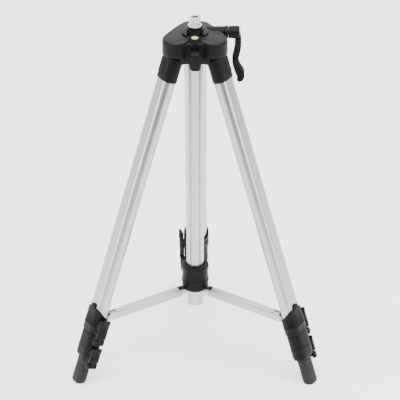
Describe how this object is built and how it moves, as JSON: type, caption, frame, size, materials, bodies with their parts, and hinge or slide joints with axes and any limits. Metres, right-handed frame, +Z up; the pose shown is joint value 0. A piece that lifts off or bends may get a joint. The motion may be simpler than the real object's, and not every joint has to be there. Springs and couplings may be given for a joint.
{
  "type": "laser level tripod",
  "caption": "Folding three-leg tripod with crank-driven centre column, spreader hub and a 5/8 in stud that carries a laser level; oval telescopic legs with flip locks.",
  "frame": {"origin": "on the floor plane under the centre column's axis, with the legs open and every leg section pushed in", "axes": "+Z up along the column, +Y toward the rear leg, the column lock faces -Y and the crank is on +X"},
  "size_m": [0.3571, 0.3192, 0.5364],
  "materials": {
    "black_plastic": "fine moulded grain",
    "soft_black": "smooth moulded levers and grip",
    "tube_aluminium": "satin anodised, drawn lengthways",
    "steel": "turned steel pins and screws",
    "nickel": "nickel-plated stud",
    "bush_plastic": "smooth acetal",
    "vial_liquid": "clear acrylic with yellow-green liquid",
    "rubber": "matt black rubber"
  },
  "bodies": {
    "crown": {"crown_shell": "black_plastic", "crown_boss": "black_plastic", "guide_tube": "tube_aluminium", "guide_bush": "bush_plastic", "bubble_ring": "black_plastic", "bubble_vial": "vial_liquid", "leg_pin_1": "steel", "leg_pin_2": "steel", "leg_pin_3": "steel"},
    "column": {"column_tube": "tube_aluminium", "column_rack": "steel", "column_cap": "black_plastic", "stud_flange": "steel", "stud": "nickel", "column_plug": "black_plastic"},
    "crank": {"crank_shaft": "steel", "crank_hub": "black_plastic", "crank_arm": "black_plastic", "crank_screw": "steel"},
    "grip": {"crank_grip": "soft_black"},
    "knob": {"lock_knob": "black_plastic", "lock_screw": "steel"},
    "hub": {"hub_sleeve": "black_plastic", "hub_pin_1": "steel", "hub_pin_2": "steel", "hub_pin_3": "steel"},
    "leg_1": {"bracket_1": "black_plastic", "leg_tube_1": "tube_aluminium", "upper_collar_1": "black_plastic", "ear_rivet_1": "steel"},
    "mid_section_1": {"mid_tube_1": "tube_aluminium", "lower_collar_1": "black_plastic"},
    "lower_section_1": {"low_tube_1": "tube_aluminium", "foot_1": "rubber"},
    "lever_a1": {"upper_lever_1": "soft_black"},
    "lever_b1": {"lower_lever_1": "soft_black"},
    "brace_1": {"brace_1": "tube_aluminium"},
    "leg_2": {"bracket_2": "black_plastic", "leg_tube_2": "tube_aluminium", "upper_collar_2": "black_plastic", "ear_rivet_2": "steel"},
    "mid_section_2": {"mid_tube_2": "tube_aluminium", "lower_collar_2": "black_plastic"},
    "lower_section_2": {"low_tube_2": "tube_aluminium", "foot_2": "rubber"},
    "lever_a2": {"upper_lever_2": "soft_black"},
    "lever_b2": {"lower_lever_2": "soft_black"},
    "brace_2": {"brace_2": "tube_aluminium"},
    "leg_3": {"bracket_3": "black_plastic", "leg_tube_3": "tube_aluminium", "upper_collar_3": "black_plastic", "ear_rivet_3": "steel"},
    "mid_section_3": {"mid_tube_3": "tube_aluminium", "lower_collar_3": "black_plastic"},
    "lower_section_3": {"low_tube_3": "tube_aluminium", "foot_3": "rubber"},
    "lever_a3": {"upper_lever_3": "soft_black"},
    "lever_b3": {"lower_lever_3": "soft_black"},
    "brace_3": {"brace_3": "tube_aluminium"}
  },
  "joints": [
    {"name": "column_slide", "type": "slide", "parent": "crown", "child": "column", "axis": [0, 0, 1], "range_m": [0, 0.2]},
    {"name": "crank_turn", "type": "hinge", "parent": "crown", "child": "crank", "pos_m": [0.05, 0.0154, 0.505], "axis": [-1, 0, 0], "range_deg": [-1, 1911]},
    {"name": "grip_fold", "type": "hinge", "parent": "crank", "child": "grip", "pos_m": [0.063, 0.0154, 0.434], "axis": [0, 1, 0], "range_deg": [0, 107]},
    {"name": "lock_turn", "type": "hinge", "parent": "crown", "child": "knob", "pos_m": [0, -0.03, 0.492], "axis": [0, -1, 0], "range_deg": [0, 270]},
    {"name": "hub_slide", "type": "slide", "parent": "crown", "child": "hub", "axis": [0, 0, 1], "range_m": [0, 0.0966]},
    {"name": "leg_fold_1", "type": "hinge", "parent": "crown", "child": "leg_1", "pos_m": [0, 0.0315, 0.492], "axis": [-1, 0, 0], "range_deg": [0, 13.3]},
    {"name": "mid_slide_1", "type": "slide", "parent": "leg_1", "child": "mid_section_1", "axis": [0, 0.314, -0.9494], "range_m": [0, 0.3]},
    {"name": "lower_slide_1", "type": "slide", "parent": "mid_section_1", "child": "lower_section_1", "axis": [0, 0.314, -0.9494], "range_m": [0, 0.3]},
    {"name": "upper_lock_1", "type": "hinge", "parent": "leg_1", "child": "lever_a1", "pos_m": [-0.0224, 0.17217, 0.06666], "axis": [0, -0.9494, -0.314], "range_deg": [0, 105]},
    {"name": "lower_lock_1", "type": "hinge", "parent": "mid_section_1", "child": "lever_b1", "pos_m": [-0.0214, 0.1841, 0.03058], "axis": [0, -0.9494, -0.314], "range_deg": [0, 105]},
    {"name": "brace_swing_1", "type": "hinge", "parent": "hub", "child": "brace_1", "pos_m": [0, 0.022, 0.101], "axis": [-1, 0, 0], "range_deg": [-0.1, 73.57]},
    {"name": "leg_fold_2", "type": "hinge", "parent": "crown", "child": "leg_2", "pos_m": [-0.02728, -0.01575, 0.492], "axis": [0.5, -0.866, 0], "range_deg": [-0.05, 13.35]},
    {"name": "mid_slide_2", "type": "slide", "parent": "leg_2", "child": "mid_section_2", "axis": [-0.2719, -0.157, -0.9494], "range_m": [0, 0.3]},
    {"name": "lower_slide_2", "type": "slide", "parent": "mid_section_2", "child": "lower_section_2", "axis": [-0.2719, -0.157, -0.9494], "range_m": [0, 0.3]},
    {"name": "upper_lock_2", "type": "hinge", "parent": "leg_2", "child": "lever_a2", "pos_m": [-0.1379, -0.10548, 0.06666], "axis": [0.8222, 0.4747, -0.314], "range_deg": [0, 105]},
    {"name": "lower_lock_2", "type": "hinge", "parent": "mid_section_2", "child": "lever_b2", "pos_m": [-0.14874, -0.11058, 0.03058], "axis": [0.8222, 0.4747, -0.314], "range_deg": [0, 105]},
    {"name": "brace_swing_2", "type": "hinge", "parent": "hub", "child": "brace_2", "pos_m": [-0.01905, -0.011, 0.101], "axis": [0.5, -0.866, 0], "range_deg": [-0.1, 73.57]},
    {"name": "leg_fold_3", "type": "hinge", "parent": "crown", "child": "leg_3", "pos_m": [0.02728, -0.01575, 0.492], "axis": [0.5, 0.866, 0], "range_deg": [-0.05, 13.35]},
    {"name": "mid_slide_3", "type": "slide", "parent": "leg_3", "child": "mid_section_3", "axis": [0.2719, -0.157, -0.9494], "range_m": [0, 0.3]},
    {"name": "lower_slide_3", "type": "slide", "parent": "mid_section_3", "child": "lower_section_3", "axis": [0.2719, -0.157, -0.9494], "range_m": [0, 0.3]},
    {"name": "upper_lock_3", "type": "hinge", "parent": "leg_3", "child": "lever_a3", "pos_m": [0.1603, -0.06669, 0.06666], "axis": [-0.8222, 0.4747, -0.314], "range_deg": [0, 105]},
    {"name": "lower_lock_3", "type": "hinge", "parent": "mid_section_3", "child": "lever_b3", "pos_m": [0.17014, -0.07352, 0.03058], "axis": [-0.8222, 0.4747, -0.314], "range_deg": [0, 105]},
    {"name": "brace_swing_3", "type": "hinge", "parent": "hub", "child": "brace_3", "pos_m": [0.01905, -0.011, 0.101], "axis": [0.5, 0.866, 0], "range_deg": [-0.1, 73.57]}
  ],
  "couplings": [
    {"joint": "crank_turn", "follows": "column_slide", "rad_per_m": 166.67},
    {"joint": "leg_fold_2", "follows": "leg_fold_1", "ratio": 1},
    {"joint": "leg_fold_3", "follows": "leg_fold_1", "ratio": 1},
    {"joint": "hub_slide", "follows": "leg_fold_1", "m_per_rad": 0.41395},
    {"joint": "brace_swing_1", "follows": "leg_fold_1", "ratio": 5.5238},
    {"joint": "brace_swing_2", "follows": "leg_fold_1", "ratio": 5.5238},
    {"joint": "brace_swing_3", "follows": "leg_fold_1", "ratio": 5.5238}
  ]
}
